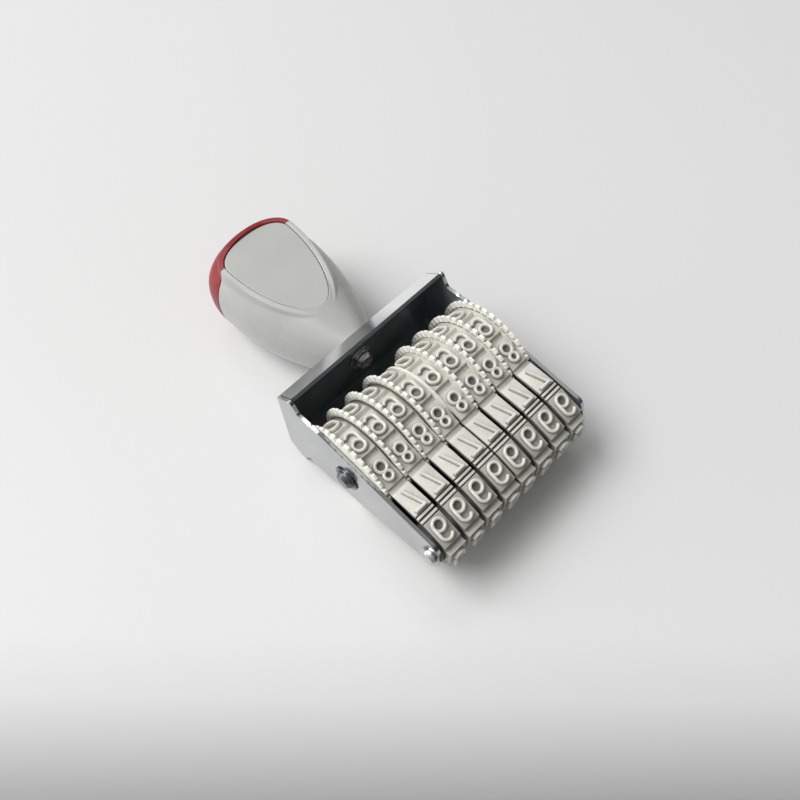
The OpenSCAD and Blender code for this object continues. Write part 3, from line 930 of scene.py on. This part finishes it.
def panelEdge(gap, tipSteps):
    # right half of the panel's border from tip to end, moved outwards by gap
    p = handlePanel
    endSteps = p["endSteps"]
    along = [p["wide"] * (i / tipSteps) ** 3 for i in range(tipSteps)]
    for i in range(endSteps + 1):
        along.append(p["wide"] + (p["end"] - p["wide"]) * math.sin(math.pi / 2 * i / endSteps))
    pts = [Vector((panelHalf(v), v)) for v in along]
    pts[-1].x = 0
    moved = []
    for i, point in enumerate(pts):
        way = (pts[min(i + 1, len(pts) - 1)] - pts[max(i - 1, 0)]).normalized()
        if i == 0:
            way = Vector((1, 0))
        if i == len(pts) - 1:
            way = Vector((-1, 0))
        moved.append(Vector((max(0, point.x + way.y * gap), point.y - way.x * gap)))
    return moved


# distances from the panel at which the collar is drawn
collarSteps = [2.6, 2.2, 2.0, 1.85, 1.7, 1.6, 1.5, 1.4, 1.3, 1.15, 1.0, 0.75, 0.5,
               0.36, 0.26, 0.17, 0.1, 0.05, 0.02, 0.0]
collarCurves = [panelEdge(gap, 90) for gap in collarSteps]


def curveX(curve, v):
    # half width of a border curve at v, 0 past its ends
    if v <= curve[0].y or v >= curve[-1].y:
        return 0
    low, high = 0, len(curve) - 1
    while high - low > 1:
        middle = (low + high) // 2
        if curve[middle].y <= v:
            low = middle
        else:
            high = middle
    share = (v - curve[low].y) / max(1e-9, curve[high].y - curve[low].y)
    return curve[low].x + (curve[high].x - curve[low].x) * share


def handleLoop(y, sizeX, sizeZ):
    # closed section: egg-shaped sides, raised collar and the pocket under each panel
    h, p = handleShape, handlePanel
    n, lip, count = h["roundness"], h["lipRound"], h["sideSteps"]
    v = (y - p["tip"]) / math.cos(panelTurn)
    plane = p["low"] + (y - p["tip"]) * math.tan(panelTurn)
    collar = []
    for gap, curve in zip(collarSteps, collarCurves):
        x = min(curveX(curve, v), h["widest"] * sizeX)
        far = gap if x > 0 else max(gap, -v, v - p["end"])
        egg = sizeZ * max(0, 1 - (x / sizeX) ** n) ** (1 / n)
        u = min(1, max(0, (h["collar"] + h["collarSoft"] - far) / (2 * h["collarSoft"])))
        z = egg + max(0, plane + h["collarTall"] - egg) * u * u * (3 - 2 * u)
        if far < lip:
            z -= lip - math.sqrt(lip ** 2 - (lip - far) ** 2)
        collar.append((x, z))
    x, z = collar[-1]
    collar.append((x, min(z, plane - p["thick"]) if x > 0 else z))
    turn = math.acos((collar[0][0] / sizeX) ** (n / 2))
    side = []
    for i in range(1, count):
        t = turn * (2 * i / count - 1)
        z = math.copysign(sizeZ * abs(math.sin(t)) ** (2 / n), t)
        side.append((sizeX * math.cos(t) ** (2 / n), z))
    half = [(x, -z) for x, z in reversed(collar)] + side + collar
    return [(x, y, z) for x, z in half] + [(-x, y, z) for x, z in reversed(half)]


def skinLoops(name, loops, material, replaced):
    # joins the sections, in mm from the roof, and closes both ends
    verts, faces = [], []
    width = len(loops[0])
    for loop in loops:
        verts += [(x * mm, roofY + y * mm, axleZ + z * mm) for x, y, z in loop]
    for j in range(len(loops) - 1):
        for i in range(width):
            a, b = j * width + i, j * width + (i + 1) % width
            faces.append((a, b, b + width, a + width))
    faces.append(tuple(range(width)))
    faces.append(tuple(range((len(loops) - 1) * width, len(loops) * width)))
    obj = addPiece(name, verts, faces, material, handleShape["sharp"])
    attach(obj, "frame")
    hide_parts(replaced)


def seamLoop(y, shrink):
    # the section where body and cap meet, drawn in towards the seam
    h = handleShape
    sizeX, sizeZ = bodySize(h["bodyLength"])
    return handleLoop(y, sizeX - shrink * h["seam"], sizeZ - shrink * h["seam"])


def makeBody():
    # rows lie close together where the panel starts
    h, tipY = handleShape, handlePanel["tip"]
    seamY = h["bodyLength"]
    ys = [seamY * i / h["bodyRows"] for i in range(h["bodyRows"])]
    ys += [tipY - h["tipLead"] + h["closeRow"] * i for i in range(h["tipRows"])]
    fine = h["tipFineRows"]
    ys += [tipY + h["tipFine"] * (i / fine) ** 3 for i in range(fine + 1)]
    loops = [handleLoop(y, *bodySize(y)) for y in sorted(set(ys)) if y < seamY - h["bodyClear"]]
    loops += [seamLoop(seamY - far, shrink) for far, shrink in h["seamRows"]]
    skinLoops("handleBody", loops, greyPlastic, "handle_body")


def makeCap():
    # rows lie close together where the panel ends
    h, p = handleShape, handlePanel
    endY = p["tip"] + p["end"] * math.cos(panelTurn)
    sizeX, sizeZ = bodySize(h["bodyLength"])
    start = h["bodyLength"] + h["seamGap"]
    reach = h["length"] - start
    last = math.sin(math.radians(h["capTurn"]))
    ys = []
    for i in range(h["capRows"] + 1):
        ys.append(start + reach * math.sin(math.radians(h["capTurn"] * i / h["capRows"])) / last)
    ys += [endY - h["endLead"] + h["closeRow"] * i for i in range(h["endRows"])]
    loops = [seamLoop(start + far, shrink) for far, shrink in reversed(h["seamRows"][1:])]
    for y in sorted(set(ys)):
        if start + h["capClear"] < y <= h["length"]:
            lean = math.cos(math.asin((y - start) / reach * last))
            loops.append(handleLoop(y, sizeX * lean ** h["capX"], sizeZ * lean ** h["capZ"]))
    skinLoops("handleCap", loops, redPlastic, "handle_cap")


def panelOutline():
    # points that crowd the middle line are left out
    right = panelEdge(-handlePanel["inset"], handlePanel["tipSteps"])
    first, last = right[0], right[-1]
    inner = [q for q in right[1:-1] if q.x > 0.02 and q.y > first.y + 0.002]
    first.x = last.x = 0
    return [first] + inner + [last] + [Vector((-q.x, q.y)) for q in reversed(inner)]


def makePanels():
    p = handlePanel
    outline = panelOutline()
    count = len(outline)
    for side, name, replaced in ((1, "frontPanel", "front_panel"), (-1, "backPanel", "back_panel")):
        verts = []
        for up in (0, -p["thick"]):
            for q in outline:
                y = p["tip"] + q.y * math.cos(panelTurn) - up * math.sin(panelTurn)
                z = p["low"] + q.y * math.sin(panelTurn) + up * math.cos(panelTurn)
                verts.append((q.x * mm, roofY + y * mm, axleZ + side * z * mm))
        faces = [tuple(range(count)), tuple(reversed(range(count, 2 * count)))]
        faces += [(i, (i + 1) % count, count + (i + 1) % count, count + i) for i in range(count)]
        obj = addPiece(name, verts, faces, panelPlastic)
        softenEdges(obj, p["edge"] * mm, p["edgeSteps"], p["edgeAngle"])
        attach(obj, "frame")
        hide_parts(replaced)


makeBody()
makeCap()
makePanels()
print("handle made")


# axle, screws and nose bar

fastener = {"edge": 0.1 * mm, "segments": 2, "edgeAngle": 30}


def dressNodes(names, material):
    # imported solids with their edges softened
    for name in names:
        obj = solidCopy(name, "soft_" + name, material)
        softenEdges(obj, fastener["edge"], fastener["segments"], fastener["edgeAngle"])
        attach(obj, "frame")
        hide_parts(name)


dressNodes(["nose_screws", "handle_screw", "handle_washer"], steel)
# painted dark reflection on the axle ends and washers
dressNodes(["axle", "axle_washers"], darkReflectionSteel)
dressNodes(["nose_bar"], barMetal)
print("fasteners made")


# stage, light and camera

studio = {
    "floor": 6.0, "floorColour": (0.62, 0.622, 0.618), "floorCloud": 1.03, "floorRough": 0.6,
    # painted shadow: the table's colour darkens towards the camera
    "floorShadow": [(0.056, 1.0), (0.068, 0.9), (0.0754, 0.73), (0.0854, 0.47), (0.11, 0.3)],
    "shadowWay": (-0.724, -0.690, 0),
    "skyWay": (-0.60, 0.40, 0.69),
    "sky": [(0.0, 0.03), (0.45, 0.07), (0.62, 0.30), (0.8, 0.42), (1.0, 0.85)],
    "aim": (0, 0, 0.01),
}
# place, width, height and power
softBoxes = {
    "keyBox": ((-0.75, 0.84, 1.60), 1.4, 1.1, 38),
    "paneBox": ((0.57, 0.88, 1.76), 0.6, 0.5, 3),
    "sashBox": ((-1.30, 1.00, 0.32), 0.22, 0.5, 1.2),
    "lightBox": ((-1.08, 1.24, 0.32), 0.22, 0.5, 1.2),
}


def makeFloor():
    mat, nodes, links, bsdf = newFinish("paleTable")
    cloud = objectNoise(nodes, links, 3, 3)
    low = studio["floorColour"]
    colour = tint(nodes, links, cloud, low, tuple(c * studio["floorCloud"] for c in low))
    # painted shadow: the table darkens towards the camera
    coord = nodes.new("ShaderNodeTexCoord")
    along = vectorMath(nodes, "DOT_PRODUCT", studio["shadowWay"])
    links.new(coord.outputs["Object"], along.inputs[0])
    first, last = studio["floorShadow"][0][0], studio["floorShadow"][-1][0]
    share = mapValue(nodes, links, along.outputs["Value"], first, last, 0, 1)
    stops = [((at - first) / (last - first), (v, v, v)) for at, v in studio["floorShadow"]]
    fade = ramp(nodes, links, share, stops)
    links.new(multiply(nodes, links, colour, fade), bsdf.inputs["Base Color"])
    bsdf.inputs["Roughness"].default_value = studio["floorRough"]
    half = studio["floor"] / 2
    mesh = bpy.data.meshes.new("paleTable")
    corners = [(-half, -half, 0), (half, -half, 0), (half, half, 0), (-half, half, 0)]
    mesh.from_pydata(corners, [], [(0, 1, 2, 3)])
    mesh.materials.append(mat)
    obj = bpy.data.objects.new("paleTable", mesh)
    bpy.context.scene.collection.objects.link(obj)


def softBox(name, place, wide, tall, power):
    light = bpy.data.lights.new(name, "AREA")
    light.shape = "RECTANGLE"
    light.size = wide
    light.size_y = tall
    light.energy = power
    obj = bpy.data.objects.new(name, light)
    obj.location = place
    way = Vector(studio["aim"]) - Vector(place)
    obj.rotation_euler = way.to_track_quat("-Z", "Y").to_euler()
    bpy.context.scene.collection.objects.link(obj)


def makeSky():
    # soft room light that is brighter from the upper left
    world = bpy.data.worlds.new("studioSky")
    world.use_nodes = True
    nodes, links = world.node_tree.nodes, world.node_tree.links
    coord = nodes.new("ShaderNodeTexCoord")
    toward = vectorMath(nodes, "DOT_PRODUCT", Vector(studio["skyWay"]).normalized())
    links.new(coord.outputs["Generated"], toward.inputs[0])
    share = mapValue(nodes, links, toward.outputs["Value"], -1, 1, 0, 1)
    colour = ramp(nodes, links, share, [(pos, (v, v, v)) for pos, v in studio["sky"]])
    links.new(colour, nodes["Background"].inputs["Color"])
    bpy.context.scene.world = world


photoCamera = {
    "place": (-0.058665, -0.070162, 0.161252),
    "right": (0.697901, -0.715911, -0.020149),
    "up": (0.632900, 0.603323, 0.485220),
    "lens": 35.15, "sensor": 36, "near": 0.005,
}


def makeCamera():
    c = photoCamera
    right, up = Vector(c["right"]), Vector(c["up"])
    back = right.cross(up).normalized()
    data = bpy.data.cameras.new("photoCamera")
    data.sensor_width = c["sensor"]
    data.lens = c["lens"]
    data.clip_start = c["near"]
    obj = bpy.data.objects.new("photoCamera", data)
    obj.matrix_world = Matrix((
        (right.x, up.x, back.x, c["place"][0]),
        (right.y, up.y, back.y, c["place"][1]),
        (right.z, up.z, back.z, c["place"][2]),
        (0, 0, 0, 1),
    ))
    bpy.context.scene.collection.objects.link(obj)
    bpy.context.scene.camera = obj


makeFloor()
for name, values in softBoxes.items():
    softBox(name, *values)
makeSky()
makeCamera()
bpy.context.scene.view_settings.view_transform = "Standard"
print("stage made")
